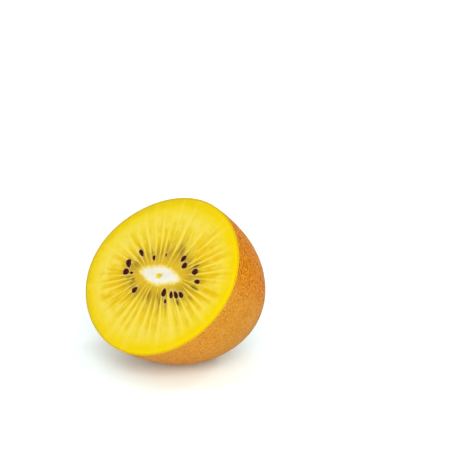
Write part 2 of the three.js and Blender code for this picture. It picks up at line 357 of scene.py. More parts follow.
def ring_faces(rings, caps=(False, False)):
    """Faces that join a list of rings in turn. A cap closes an end with one more point."""
    starts = np.cumsum([0] + [len(ring) for ring in rings])
    numbers = [np.arange(a, b) for a, b in zip(starts, starts[1:])]
    faces = [face for first, second in zip(numbers, numbers[1:]) for face in zipped(first, second)]
    total = int(starts[-1])
    if caps[0]:
        first = numbers[0]
        faces += [[total, int(a), int(b)] for a, b in zip(first, np.roll(first, -1))]
        total += 1
    if caps[1]:
        last = numbers[-1]
        faces += [[total, int(b), int(a)] for a, b in zip(last, np.roll(last, -1))]
    return faces


def new_piece(name, points, faces, attributes):
    """A mesh object with smooth faces, and named vectors on its points."""
    mesh = bpy.data.meshes.new(name)
    mesh.from_pydata(points.tolist(), [], faces)
    for key, values in attributes.items():
        target = mesh.attributes.new(key, "FLOAT_VECTOR", "POINT")
        target.data.foreach_set("vector", values.astype(np.float32).ravel())
    mesh.polygons.foreach_set("use_smooth", np.ones(len(mesh.polygons), bool))
    mesh.update()
    piece = bpy.data.objects.new(name, mesh)
    bpy.context.scene.collection.objects.link(piece)
    return piece


# Nodes, for shaders and for geometry alike


class Nodes:
    """Adds nodes to a tree. Each call takes numbers or sockets, and gives the socket of its result."""

    def __init__(self, tree):
        self.tree = tree

    def add(self, kind, inputs=(), **settings):
        node = self.tree.nodes.new(kind)
        for key, value in settings.items():
            setattr(node, key, value)
        for key, value in dict(inputs).items():
            self.feed(node.inputs[key], value)
        return node

    def feed(self, socket, value):
        if isinstance(value, bpy.types.NodeSocket):
            self.tree.links.new(value, socket)
        else:
            socket.default_value = value

    def math(self, operation, *values):
        return self.add("ShaderNodeMath", enumerate(values), operation=operation).outputs[0]

    def plus(self, *values):
        total = values[0]
        for value in values[1:]:
            total = self.math("ADD", total, value)
        return total

    def times(self, *values):
        product = values[0]
        for value in values[1:]:
            product = self.math("MULTIPLY", product, value)
        return product

    def minus(self, first, second):
        return self.math("SUBTRACT", first, second)

    def sway(self, value, amount):
        """A value from 0 to 1 as a swing of half the amount either way."""
        return self.times(self.minus(value, 0.5), amount)

    def step(self, value, low, high, to_low=0.0, to_high=1.0):
        """Smooth step from to_low at low to to_high at high."""
        if low > high:
            low, high, to_low, to_high = high, low, to_high, to_low
        inputs = {"Value": value, "From Min": low, "From Max": high, "To Min": to_low, "To Max": to_high}
        return self.add("ShaderNodeMapRange", inputs, interpolation_type="SMOOTHSTEP").outputs[0]

    def mix(self, factor, first, second):
        """Colour that runs from first to second."""
        node = self.add("ShaderNodeMix", {0: factor}, data_type="RGBA")
        for socket, value in ((node.inputs[6], first), (node.inputs[7], second)):
            self.feed(socket, (*value, 1) if isinstance(value, tuple) else value)
        return node.outputs[2]

    def attribute(self, name):
        """A vector stored on the mesh."""
        if self.tree.type == "GEOMETRY":
            inputs = {"Name": name}
            return self.add("GeometryNodeInputNamedAttribute", inputs, data_type="FLOAT_VECTOR").outputs[0]
        return self.add("ShaderNodeAttribute", attribute_name=name).outputs["Vector"]

    def apart(self, vector):
        return self.add("ShaderNodeSeparateXYZ", {0: vector}).outputs[:]

    def together(self, x, y, z):
        return self.add("ShaderNodeCombineXYZ", {0: x, 1: y, 2: z}).outputs[0]

    def noise(self, vector, size, detail=2.0, roughness=0.5):
        """Noise from 0 to 1 whose lumps are about this size in the vector's own units."""
        inputs = {"Vector": vector, "Scale": 1 / size, "Detail": detail, "Roughness": roughness}
        return self.add("ShaderNodeTexNoise", inputs).outputs[0]

    def cells(self, vector, size):
        """Distance to the middle of the nearest cell, in cells, and a random number for each cell."""
        node = self.add("ShaderNodeTexVoronoi", {"Vector": vector, "Scale": 1 / size})
        return node.outputs["Distance"], self.apart(node.outputs["Color"])[0]

    def bump(self, shader, height, strength, distance):
        """Gives a shader bumps that are up to this many millimetres high."""
        inputs = {"Height": height, "Strength": strength, "Distance": distance * MM}
        self.feed(shader.inputs["Normal"], self.add("ShaderNodeBump", inputs).outputs[0])


def press_relief(piece, height_of, clear_of_floor):
    """Moves a piece's points along their normals by heights in millimetres that nodes work out."""
    tree = bpy.data.node_groups.new(piece.name + "_relief", "GeometryNodeTree")
    tree.interface.new_socket("Geometry", in_out="INPUT", socket_type="NodeSocketGeometry")
    tree.interface.new_socket("Geometry", in_out="OUTPUT", socket_type="NodeSocketGeometry")
    nodes = Nodes(tree)
    start = nodes.add("NodeGroupInput").outputs[0]
    normal = nodes.add("GeometryNodeInputNormal").outputs[0]
    height = nodes.times(height_of(nodes), MM)
    offset = nodes.add("ShaderNodeVectorMath", {0: normal, "Scale": height}, operation="SCALE").outputs[0]
    moved = nodes.add("GeometryNodeSetPosition", {"Geometry": start, "Offset": offset}).outputs[0]
    nodes.add("NodeGroupOutput", {0: moved})
    piece.modifiers.new("relief", "NODES").node_group = tree
    graph = bpy.context.evaluated_depsgraph_get()
    pressed = bpy.data.meshes.new_from_object(
        piece.evaluated_get(graph), preserve_all_data_layers=True, depsgraph=graph
    )
    piece.modifiers.clear()
    piece.data = pressed
    for vertex in pressed.vertices:
        vertex.co.z = max(vertex.co.z, clear_of_floor * MM)


def new_material(name):
    """A material's nodes and its shader."""
    material = bpy.data.materials.new(name)
    material.use_nodes = True
    return material, Nodes(material.node_tree), material.node_tree.nodes["Principled BSDF"]


# The cut flesh with its core


def around(nodes, cut, fineness, third):
    """A place for noise that goes around the core, with a third coordinate of its own."""
    return nodes.together(nodes.times(cut.x, fineness), nodes.times(cut.y, fineness), third)


def cut_pattern(nodes):
    """The cut's pattern, for relief and colours: x and y, the direction from the middle; way, from 0
    at the core's edge to 1 at the skin; from_rib, the distance to the nearest rib's middle as a share
    of a chamber; strength, that rib's; and a grain that runs along the chambers."""
    x, y, way = nodes.apart(nodes.attribute("spoke"))
    cut = SimpleNamespace(x=x, y=y, way=way, place=nodes.attribute("place"))
    turn_cosine, turn_sine, _ = nodes.apart(nodes.attribute("chamber"))
    turn = nodes.times(nodes.math("ARCTAN2", turn_sine, turn_cosine), 0.5 / math.pi)
    wander = nodes.sway(nodes.noise(cut.place, 9, 1), 0.3)
    spread = nodes.sway(nodes.noise(around(nodes, cut, 3, 2.0), 1, 1), 0.9)
    turn = nodes.plus(turn, nodes.plus(wander, spread))
    cut.from_rib = nodes.math("ABSOLUTE", nodes.minus(nodes.math("FRACT", turn), 0.5))
    cut.strength = nodes.step(nodes.noise(around(nodes, cut, 6, nodes.times(way, 1.2)), 1, 1), 0.3, 0.6)
    cut.grain = nodes.noise(around(nodes, cut, 28, nodes.times(way, 4)), 1, 3, 0.6)
    return cut


def flesh_relief(nodes):
    """Height of the cut's ribs and fine unevenness."""
    cut = cut_pattern(nodes)
    top = nodes.apart(nodes.attribute("face"))[0]
    sunk = nodes.times(nodes.step(cut.way, 0.06, 0.34), nodes.step(cut.way, 0.75, 0.36))
    rib_height = nodes.plus(nodes.times(cut.strength, 0.7), 0.3)
    rib = nodes.times(nodes.step(cut.from_rib, 0.32, 0.02), rib_height)
    groove = nodes.times(sunk, nodes.minus(rib, 1), GROOVE_DEPTH)
    fine = nodes.sway(cut.grain, nodes.step(cut.way, 0.9, 0.1, 0.02, 0.08))
    lumps = nodes.sway(nodes.noise(cut.place, 2.2, 3), LUMP_HEIGHT)
    return nodes.times(top, nodes.plus(groove, fine, lumps))


def outer_flesh(nodes, cut):
    """Colour of the outer flesh: mottled and pale further in, full yellow towards the skin, and
    darker there on the upper left side as painted shade."""
    colour = nodes.mix(nodes.step(cut.cloud, 0.35, 0.65), FLESH["outer"], FLESH["outer_pale"])
    colour = nodes.mix(nodes.times(nodes.step(cut.fine, 0.45, 0.7), 0.35), colour, FLESH["outer_fleck"])
    rim_from = nodes.plus(cut.way, nodes.sway(cut.cloud, 0.25), nodes.times(cut.x, 0.02))
    colour = nodes.mix(nodes.step(rim_from, 0.7, 0.95), colour, FLESH["rim"])
    # Painted shade: the rim is darker on the upper left side, which gets less light.
    painted_shade_side = nodes.step(nodes.plus(nodes.times(cut.y, 0.7), nodes.times(cut.x, -0.7)), -0.3, 0.8)
    return nodes.mix(nodes.times(painted_shade_side, nodes.step(rim_from, 0.82, 1.0)), colour, FLESH["painted_shade_rim"])


def chamber_gel(nodes, cut, any_seed_near):
    """Colour of the gel in the chambers: clear olive gold near the seeds, yellow further out, with
    fine streaks that run outwards."""
    streak = nodes.step(cut.grain, 0.3, 0.7)
    deep = nodes.mix(streak, FLESH["deep_gel"], FLESH["deep_streak"])
    light = nodes.mix(streak, FLESH["light_gel"], FLESH["light_streak"])
    light = nodes.mix(nodes.times(cut.aside, 0.8), light, FLESH["gel_aside"])
    by_seeds = nodes.times(nodes.minus(any_seed_near, 1), 0.07)
    nearness = nodes.plus(cut.way, by_seeds, nodes.times(cut.x, -0.04))
    colour = nodes.mix(nodes.step(nearness, 0.2, 0.58), deep, light)
    colour = nodes.mix(nodes.step(cut.way, 0.24, 0.03, 0.0, 0.9), colour, FLESH["gel_by_core"])
    return nodes.mix(nodes.times(nodes.step(cut.fine, 0.45, 0.75), 0.35), colour, FLESH["gel_fleck"])


def with_chambers(nodes, cut, outer, gel):
    """The outer flesh with the chambers' gel in it, which is patchy further out, and fainter towards
    the upper right of the cut."""
    reach = nodes.plus(cut.way, nodes.times(cut.length, -0.24), nodes.sway(cut.cloud, 0.35))
    reach = nodes.plus(reach, nodes.times(cut.x, -0.06), nodes.times(cut.y, 0.05))
    blotch = nodes.noise(around(nodes, cut, 9, nodes.times(cut.way, 5)), 1, 2)
    patchy = nodes.plus(nodes.step(cut.way, 0.3, 0.15), nodes.step(blotch, 0.34, 0.56, 0.35, 1.0))
    upper_right = nodes.step(nodes.plus(nodes.times(cut.x, 0.77), nodes.times(cut.y, 0.64)), 0.8, 0.97)
    faint = nodes.times(upper_right, nodes.step(cut.way, 0.26, 0.45, 0.0, 0.5))
    inside = nodes.times(nodes.step(reach, 0.7, 0.3), nodes.step(cut.from_edge, 0.02, 0.28))
    inside = nodes.times(inside, patchy, nodes.minus(1.0, faint))
    ground = nodes.mix(nodes.step(cut.way, 0.28, 0.04), outer, FLESH["ground_by_core"])
    wash = nodes.times(cut.aside, nodes.step(cut.way, 0.2, 0.34), nodes.step(reach, 0.68, 0.36))
    wash = nodes.times(wash, nodes.step(blotch, 0.3, 0.55, 0.35, 1.0))
    ground = nodes.mix(wash, ground, FLESH["wash"])
    return nodes.mix(nodes.math("MINIMUM", inside, 1.0), ground, gel)


def with_ribs(nodes, cut, colour):
    """The flesh with its pale ribs and a thin vein along each, which fade outwards. By the core the
    weaker ribs are faint."""
    rib_ends = nodes.plus(cut.way, nodes.times(cut.strength, -0.2), nodes.sway(cut.cloud, 0.25))
    rib = nodes.times(nodes.step(cut.from_edge, 0.26, 0.0), nodes.step(rib_ends, 0.88, 0.3))
    by_core = nodes.step(cut.strength, 0.3, 0.8, 0.1, 0.7)
    away = nodes.step(cut.way, 0.08, 0.32)
    shown = nodes.plus(nodes.times(away, nodes.minus(1.0, by_core)), by_core)
    rib = nodes.times(rib, shown, nodes.step(cut.strength, 0.0, 1.0, 0.3, 0.95))
    rib = nodes.times(rib, nodes.step(cut.aside, 0.0, 1.0, 1.0, 0.7))
    rib_colour = nodes.mix(nodes.step(cut.way, 0.14, 0.5), FLESH["rib_by_core"], FLESH["rib"])
    colour = nodes.mix(rib, colour, rib_colour)
    vein = nodes.times(nodes.step(cut.from_rib, 0.2, 0.0), nodes.step(rib_ends, 0.84, 0.45))
    vein = nodes.times(vein, nodes.step(cut.way, 0.96, 0.7), nodes.step(cut.way, 0.15, 0.4, 0.0, 0.45))
    vein = nodes.times(vein, nodes.step(cut.strength, 0.0, 1.0, 0.25, 1.0))
    return nodes.mix(vein, colour, FLESH["vein"])


def with_seed_marks(nodes, cut, colour, seed_near, sunken):
    """The flesh with the seeds under its surface, and pale jelly round the seeds that stand out."""
    lines = nodes.noise(around(nodes, cut, 30, nodes.times(cut.way, 6)), 1, 1)
    streaks = nodes.step(lines, 0.46, 0.56, 0.55, 1.0)
    colour = nodes.mix(nodes.times(sunken, streaks), colour, FLESH["sunken_seed"])
    halo = nodes.times(nodes.step(seed_near, 0.4, 0.1), 0.22)
    return nodes.mix(halo, colour, FLESH["jelly"])


def with_core(nodes, cut, colour):
    """The flesh with its core: white and a little fibrous, with a soft edge, a yellow pit and a
    fainter one beside it."""
    _, pit, from_core = nodes.apart(nodes.attribute("face"))
    ragged = nodes.sway(nodes.noise(cut.place, 1.3, 2), 1.2)
    tips = nodes.step(nodes.math("ABSOLUTE", cut.x), 0.72, 0.98, 0.0, 0.42)
    edge = nodes.plus(nodes.times(from_core, nodes.minus(1.0, tips)), tips)
    edge = nodes.plus(edge, nodes.sway(cut.grain, 1.1), ragged)
    white = nodes.mix(nodes.noise(cut.place, 0.5, 3, 0.6), FLESH["white_fibre"], FLESH["white"])
    pale = nodes.mix(nodes.step(edge, 0.35, -0.55), FLESH["core_edge"], white)
    colour = nodes.mix(nodes.step(edge, 0.85, 0.1), colour, pale)
    colour = nodes.mix(nodes.step(pit, 0.0, 0.35), colour, FLESH["pit_edge"])
    return nodes.mix(nodes.step(pit, 0.25, 0.75), colour, FLESH["pit"])


def flesh_material():
    """The cut's material. It adds to the pattern: length, each chamber's; cloud and fine, two grades of
    mottling; aside, how near a direction is to the cut's two ends; and from_edge, the distance from a
    rib that is wider further out and the stronger it is."""
    material, nodes, shader = new_material("kiwi_flesh")
    seed_near, sunken, any_seed_near = nodes.apart(nodes.attribute("seeding"))
    cut = cut_pattern(nodes)
    cut.length = nodes.step(nodes.noise(around(nodes, cut, 7, 5.0), 1, 2), 0.3, 0.7)
    cut.cloud = nodes.noise(cut.place, 3.2, 4, 0.55)
    cut.fine = nodes.noise(cut.place, 0.8, 3, 0.6)
    cut.aside = nodes.step(nodes.math("ABSOLUTE", cut.x), 0.55, 0.95)
    weaker = nodes.times(nodes.minus(1.0, cut.strength), 0.2)
    cut.from_edge = nodes.plus(cut.from_rib, nodes.times(cut.way, -0.14), weaker)

    gel = chamber_gel(nodes, cut, any_seed_near)
    colour = with_chambers(nodes, cut, outer_flesh(nodes, cut), gel)
    colour = with_ribs(nodes, cut, colour)
    colour = with_seed_marks(nodes, cut, colour, seed_near, sunken)
    colour = with_core(nodes, cut, colour)
    colour = nodes.mix(nodes.step(cut.way, 0.98, 1.0, 0.0, 0.45), colour, FLESH["by_skin"])

    nodes.feed(shader.inputs["Base Color"], colour)
    shader.inputs["Subsurface Weight"].default_value = 0.4
    shader.inputs["Subsurface Radius"].default_value = (1.0, 0.62, 0.12)
    shader.inputs["Subsurface Scale"].default_value = 0.8 * MM
    shader.inputs["Specular IOR Level"].default_value = 0.2
    shader.inputs["Specular Tint"].default_value = (1.0, 0.86, 0.1, 1)
    nodes.feed(shader.inputs["Roughness"], nodes.step(cut.fine, 0.3, 0.7, 0.3, 0.46))
    height = nodes.plus(nodes.times(cut.fine, 0.5), nodes.times(cut.grain, 0.5))
    nodes.bump(shader, height, 0.5, 0.12)
    return material


def pit_shape(points, pit):
    """How deep into a pit of the core points lie, from 0 to 1."""
    c, s = math.cos(CORE_TURN), math.sin(CORE_TURN)
    along = c * points[:, 0] + s * points[:, 1] - pit["along"]
    across = c * points[:, 1] - s * points[:, 0] - pit["across"]
    return smoothstep(np.hypot(along / pit["wide"], across / pit["narrow"]), 1.0, 0.35)


def face_rings():
    """Flat points of the cut from its middle outwards, with each ring's way: -1 at the middle of the
    core, 0 at its edge and 1 at the skin."""
    angle = angles(FLESH_COLUMNS)
    core, rim = core_outline(angle), outline(angle)
    rings = [(share - 1, core * share) for share in np.linspace(0, 1, CORE_RINGS, endpoint=False)[1:]]
    inset = 1 - (SKIN_THICKNESS + SKIN_GAP) / WIDE_RADIUS
    for share in np.linspace(0, 1, FLESH_RINGS):
        rings.append((share, core + (rim * inset - core) * share))
    return rings


def cut_height(way):
    """Height of the cut at a way out: the core stands up a little, and the edge drops to the skin."""
    if way < 0:
        return CORE_RISE * (1 - (way + 1) ** 2)
    return -EDGE_DROP * smoothstep(way, EDGE_STARTS, 1) ** 2


def make_flesh():
    """The flesh as one closed body: the cut, and a plain wall just inside the skin. Each point has
    its way out, and a top that is 1 on the cut and fades to 0 at the very edge and on the wall."""
    rings, ways, tops = [], [], []
    for way, flat in face_rings():
        rings.append(np.column_stack([flat, np.full(len(flat), cut_height(way))]))
        ways.append(np.full(len(flat), way))
        tops.append(np.full(len(flat), smoothstep(way, 1.0, 0.97)))
    inset = SKIN_THICKNESS + SKIN_GAP
    for depth_share in np.sin(np.linspace(0, math.pi / 2, WALL_RINGS + 1)[1:-1]):
        inner_share = 1 - inset / (WIDE_RADIUS * girth(depth_share))
        wall = outline(angles(INNER_COLUMNS)) * girth(depth_share) * inner_share
        depth = EDGE_DROP + (HALF_LENGTH - inset - EDGE_DROP) * depth_share
        lifted = stem_hollow(np.hypot(*wall.T)) - depth
        rings.append(np.column_stack([wall, lifted]))
        ways.append(np.ones(len(wall)))
        tops.append(np.zeros(len(wall)))
    middle = [[0, 0, CORE_RISE], [0, 0, stem_hollow(0) - HALF_LENGTH + inset]]
    points = np.concatenate(rings + [np.array(middle)])
    way = np.concatenate(ways + [np.array([-1.0, 1.0])])
    top = np.concatenate(tops + [np.array([1.0, 0.0])])

    flat = points[:, :2]
    turns = np.concatenate([angles(len(ring)) for ring in rings] + [np.zeros(2)])
    count = 2 * math.pi * chamber_count(turns)
    gap = np.min([seed_gap(flat, seed) for seed in SEEDS], axis=0)
    any_gap = gap
    sunken = np.zeros(len(flat))
    for seed in SUNKEN_SEEDS:
        sunken_gap = seed_gap(flat, seed)
        tint = seed["strength"] * smoothstep(sunken_gap, seed["wide"] * 0.35, -seed["wide"] * 0.3)
        any_gap = np.minimum(any_gap, sunken_gap)
        sunken = np.maximum(sunken, tint)
    pit, side_pit = pit_shape(flat, PIT), pit_shape(flat, SIDE_PIT)
    attributes = {
        "place": points.copy(),
        "spoke": np.column_stack([np.cos(turns), np.sin(turns), way]),
        "chamber": np.column_stack([np.cos(count), np.sin(count), np.zeros(len(count))]),
        "seeding": np.column_stack([np.clip(gap, -1, 3), sunken * top, np.clip(any_gap, -1, 3)]),
        "face": np.column_stack([top, np.maximum(pit, SIDE_PIT_TINT * side_pit) * top, core_gap(flat)]),
    }
    shaped = points.copy()
    socket = SOCKET_DEPTH * smoothstep(gap, SOCKET_REACH, 0.0) * top
    shaped[:, 2] -= (PIT["depth"] * pit + SIDE_PIT["depth"] * side_pit) * top + socket
    faces = ring_faces(rings, (True, True))
    piece = new_piece("flesh", placed(shaped, FLESH_OFF_FLOOR), faces, attributes)
    press_relief(piece, flesh_relief, FLESH_OFF_FLOOR)
    piece.data.materials.append(flesh_material())
    return piece


# Seeds


def seed_material():
    material, nodes, shader = new_material("kiwi_seed")
    place = nodes.attribute("place")
    grain = nodes.noise(place, 0.25, 3, 0.6)
    patch = nodes.noise(place, 1.4, 2)
    colour = nodes.mix(nodes.step(grain, 0.35, 0.7), SEED["dark"], SEED["light"])
    colour = nodes.mix(nodes.times(nodes.step(patch, 0.5, 0.7), 0.5), colour, SEED["patch"])
    nodes.feed(shader.inputs["Base Color"], colour)
    nodes.feed(shader.inputs["Roughness"], nodes.step(grain, 0.3, 0.7, 0.2, 0.36))
    shader.inputs["Specular IOR Level"].default_value = 0.15
    shader.inputs["Specular Tint"].default_value = (1.0, 0.5, 0.4, 1)
    cell, _ = nodes.cells(place, 0.22)
    nodes.bump(shader, cell, 0.35, 0.03)
    return material


def make_seeds():
    """All the seeds that stand out of the cut: flat drops, fuller outwards, and drawn in to a point
    towards the core."""
    angle = angles(SEED_SIDES)
    points, faces = [], []
    for seed in SEEDS:
        place, outwards = seed_place(seed)
        rings = []
        for k in range(1, SEED_STEPS):
            turn = math.pi * k / SEED_STEPS
            along = -math.cos(turn)
            drawn_in = 1 - 0.22 * smoothstep(along, -0.55, -1.0)
            plump = math.sin(turn) * (1 + 0.3 * along) * drawn_in
            across, up = plump * np.cos(angle), plump * np.sin(angle)
            rings.append(np.column_stack([np.full(SEED_SIDES, along), across, up]))
        drop = np.concatenate(rings + [np.array([[-1.08, 0, 0], [1, 0, 0]])])
        drop *= np.array([seed["long"], seed["wide"], SEED_THICKNESS]) / 2
        turned = np.column_stack([
            place[0] + drop[:, 0] * outwards[0] - drop[:, 1] * outwards[1],
            place[1] + drop[:, 0] * outwards[1] + drop[:, 1] * outwards[0],
            seed["rise"] - SEED_SINK - SEED_THICKNESS / 2 + drop[:, 2],
        ])
        start = sum(len(p) for p in points)
        points.append(turned)
        faces += [[start + int(v) for v in face] for face in ring_faces(rings, (True, True))]
    points = np.concatenate(points)
    piece = new_piece("seeds", placed(points), faces, {"place": points})
    piece.data.materials.append(seed_material())
    return piece


# Skin


def skin_pattern(nodes):
    """The skin's pattern, for relief and colours: fine pebbles that stand out more or less, the gaps
    among them, sparse flecks, a fine grain, how far a point lies on the upper side, whose deeper orange
    is partly blush and partly painted shade, and on the bronze far side. Pebbles and gaps fade towards the
    far side."""
    place = nodes.attribute("place")
    x, y, z = nodes.apart(place)
    skin = SimpleNamespace(place=place, y=y, z=z)
    wavy = nodes.noise(place, 7, 3)
    facing = nodes.plus(nodes.times(x, 0.88), nodes.times(y, -0.47), nodes.sway(wavy, 12))
    upper = nodes.step(nodes.plus(y, nodes.sway(wavy, 9)), -11, 1)
    # Painted shade: the upper side that faces the view is a deeper, darker orange, partly a real blush.
    skin.blushed = nodes.times(upper, nodes.step(facing, -6, 12, 0.3, 1.0))
    skin.bronze = nodes.step(facing, 10, -9)
    clumps = nodes.step(nodes.noise(place, 2.4, 3), 0.36, 0.62, 0.35, 1.15)
    clumps = nodes.times(clumps, nodes.step(facing, 4, 17, 0.35, 1.05))
    bend = nodes.times(nodes.noise(place, 1.2, 3), 0.5)
    inputs = {0: place, 1: nodes.together(bend, bend, bend)}
    bent = nodes.add("ShaderNodeVectorMath", inputs, operation="ADD").outputs[0]
    near, chance = nodes.cells(bent, PEBBLE_WIDTH)
    stands_out = nodes.step(chance, 0.0, 0.85, 0.15, 1.0)
    skin.pebbles = nodes.times(nodes.step(near, 0.62, 0.12), stands_out, clumps)
    skin.gaps = nodes.times(nodes.step(near, 0.4, 0.75), clumps)
    far, rarity = nodes.cells(place, FLECK_CELL)
    skin.flecks = nodes.times(nodes.step(far, 0.27, 0.08), nodes.step(rarity, 0.2, 0.9))
    skin.grain = nodes.noise(place, 0.45, 3, 0.6)
    return skin


def skin_relief(nodes):
    """Height of the skin's pebbles, flecks, swells, dents and grain."""
    skin = skin_pattern(nodes)
    outside = nodes.apart(nodes.attribute("face"))[0]
    pebble_rise = nodes.step(skin.blushed, 0.0, 1.0, PEBBLE_RISE, UPPER_SIDE_PEBBLE_RISE)
    bumps = nodes.times(skin.pebbles, pebble_rise)
    dots = nodes.times(skin.flecks, FLECK_RISE)
    swell = nodes.sway(nodes.noise(skin.place, 11, 2), SWELL_HEIGHT)
    dents = nodes.sway(nodes.noise(skin.place, 2.6, 2), DENT_HEIGHT)
    fine = nodes.sway(skin.grain, GRAIN_HEIGHT)
    return nodes.times(outside, nodes.plus(bumps, dots, swell, dents, fine))


def tan_side(nodes, skin):
    """Colour of the tan side: orange tan, lighter low down with painted light from the floor, lighter on
    the pebbles and darker in the gaps.
    """
    colour = nodes.mix(skin.patch, SKIN["tan"], SKIN["light_tan"])
    # Painted light: lighter low down, where the floor throws light back on the skin.
    colour = nodes.mix(nodes.step(skin.y, -14, -22), colour, SKIN["tan_painted_floor_light"])
    colour = nodes.mix(nodes.times(nodes.step(skin.mottle, 0.4, 0.7), 0.4), colour, SKIN["dark_tan"])
    colour = nodes.mix(nodes.times(skin.gaps, 0.6), colour, SKIN["tan_gap"])
    colour = nodes.mix(nodes.times(skin.pebbles, 0.85), colour, SKIN["tan_pebble"])
    return nodes.mix(nodes.times(skin.fine, 0.4), colour, SKIN["tan_grain"])


def blush_and_shade_side(nodes, skin):
    """Colour of the upper side: deeper orange, partly blush and partly painted shade where the skin
    reflects less light, golden on the pebbles and red brown in the gaps.
    """
    colour = nodes.mix(skin.patch, SKIN["blush"], SKIN["light_blush_and_shade"])
    colour = nodes.mix(nodes.times(skin.gaps, 0.85), colour, SKIN["blush_and_shade_gap"])
    colour = nodes.mix(nodes.times(skin.pebbles, 0.9), colour, SKIN["blush_and_shade_pebble"])
    mottled = nodes.times(nodes.step(skin.mottle, 0.46, 0.66), 0.45)
    return nodes.mix(mottled, colour, SKIN["dark_blush_and_shade"])


def bronze_side(nodes, skin):
    """Colour of the far side: brown, lighter and darker in patches, with tan pebbles."""
    colour = nodes.mix(skin.patch, SKIN["bronze"], SKIN["light_bronze"])
    mottled = nodes.times(nodes.step(skin.mottle, 0.4, 0.65), 0.65)
    colour = nodes.mix(mottled, colour, SKIN["dark_bronze"])
    colour = nodes.mix(nodes.times(skin.pebbles, 0.9), colour, SKIN["bronze_pebble"])
    return nodes.mix(nodes.times(skin.fine, 0.4), colour, SKIN["bronze_grain"])


def skin_material():
    """The skin's material, which adds two grades of mottling and a sharper grain to the pattern."""
    material, nodes, shader = new_material("kiwi_skin")
    skin = skin_pattern(nodes)
    skin.mottle = nodes.noise(skin.place, 1.3, 4, 0.6)
    skin.patch = nodes.step(nodes.noise(skin.place, 5, 3, 0.55), 0.35, 0.65)
    skin.fine = nodes.step(skin.grain, 0.45, 0.65)
    # The upper side's colour is partly blush and partly painted shade.
    colour = nodes.mix(skin.blushed, tan_side(nodes, skin), blush_and_shade_side(nodes, skin))
    colour = nodes.mix(skin.bronze, colour, bronze_side(nodes, skin))
    flecks = nodes.times(skin.flecks, nodes.step(skin.bronze, 0.0, 1.0, 0.25, 0.7))
    colour = nodes.mix(flecks, colour, SKIN["fleck"])

    # A browner stem end, and the thin edge at the cut
    colour = nodes.mix(nodes.step(skin.z, -18.0, -28.0, 0.0, 0.5), colour, SKIN["stem_end"])
    by_scar = nodes.step(skin.z, -28.0, -34.5, 0.0, 0.8)
    by_scar = nodes.times(by_scar, nodes.step(skin.mottle, 0.3, 0.7, 0.4, 1.0))
    colour = nodes.mix(by_scar, colour, SKIN["by_scar"])
    cut_edge = nodes.apart(nodes.attribute("face"))[1]
    colour = nodes.mix(cut_edge, colour, SKIN["cut_edge"])

    nodes.feed(shader.inputs["Base Color"], colour)
    nodes.feed(shader.inputs["Roughness"], nodes.step(skin.mottle, 0.3, 0.7, 0.4, 0.58))
    shader.inputs["Specular IOR Level"].default_value = 0.03
    shader.inputs["Specular Tint"].default_value = (1.0, 0.66, 0.25, 1)
    pebbled = nodes.plus(nodes.times(skin.pebbles, 0.7), nodes.times(skin.flecks, 0.4))
    nodes.bump(shader, nodes.plus(pebbled, nodes.times(skin.grain, 0.7)), 0.6, 0.1)
    return material


def side_ring(columns, depth_share, inset):
    """A ring of the fruit's outside, at a share of the way down, moved in by the inset."""
    flat = outline(angles(columns)) * girth(depth_share)
    flat *= 1 - inset / np.maximum(np.linalg.norm(flat, axis=1, keepdims=True), inset)
    depth = EDGE_DROP + (HALF_LENGTH - inset - EDGE_DROP) * depth_share
    return np.column_stack([flat, stem_hollow(np.hypot(*flat.T)) - depth])


def make_skin():
    """The skin as a thin shell, shaped like a cup that is open at the cut. Its mesh is closed."""
    down = np.linspace(0, LAST_RING_TURN, SKIN_RINGS)
    rings, outside = [], []
    for k, turn in enumerate(down):
        share = np.sin(turn)
        length = 2 * math.pi * WIDE_RADIUS * girth(share)
        columns = SKIN_COLUMNS
        while columns > INNER_COLUMNS and length / columns < NARROWEST_STEP:
            columns //= 2
        rings.append(side_ring(columns, share, 0.0))
        outside.append(np.full(columns, smoothstep(k, 0, RINGS_WITHOUT_RELIEF)))
    inner_turns = down[::INNER_RING_EVERY]
    inner = [side_ring(INNER_COLUMNS, np.sin(turn), SKIN_THICKNESS) for turn in inner_turns]
    lip = side_ring(SKIN_COLUMNS, 0.0, SKIN_THICKNESS)
    rings = inner[:0:-1] + [lip] + rings
    faces = ring_faces(rings, (True, True))
    tip = stem_hollow(0) - HALF_LENGTH
    points = np.concatenate(rings + [np.array([[0, 0, tip + SKIN_THICKNESS], [0, 0, tip]])])
    inner_count = sum(len(ring) for ring in inner[1:]) + len(lip)
    outer = np.concatenate([np.zeros(inner_count)] + outside + [np.array([0.0, 1.0])])
    cut_edge = np.zeros(len(points))
    cut_edge[inner_count - len(lip):inner_count + SKIN_COLUMNS] = 1
    face = np.column_stack([outer, cut_edge, np.zeros(len(points))])
    attributes = {"place": points.copy(), "face": face}
    piece = new_piece("skin", placed(points), faces, attributes)
    press_relief(piece, skin_relief, 0.0)
    piece.data.materials.append(skin_material())
    return piece


# Stem scar


def scar_material():
    material, nodes, shader = new_material("stem_cork")
    place = nodes.attribute("place")
    coarse = nodes.noise(place, 0.7, 4, 0.65)
    fine = nodes.noise(place, 0.16, 3, 0.6)
    colour = nodes.mix(nodes.step(coarse, 0.35, 0.65), SCAR["dark"], SCAR["light"])
    colour = nodes.mix(nodes.times(nodes.step(fine, 0.5, 0.75), 0.6), colour, SCAR["fibre"])
    nodes.feed(shader.inputs["Base Color"], colour)
    nodes.feed(shader.inputs["Roughness"], nodes.step(coarse, 0.3, 0.7, 0.65, 0.9))
    height = nodes.plus(nodes.times(coarse, 0.8), nodes.times(fine, 0.4))
    nodes.bump(shader, height, 0.8, 0.15)
    return material


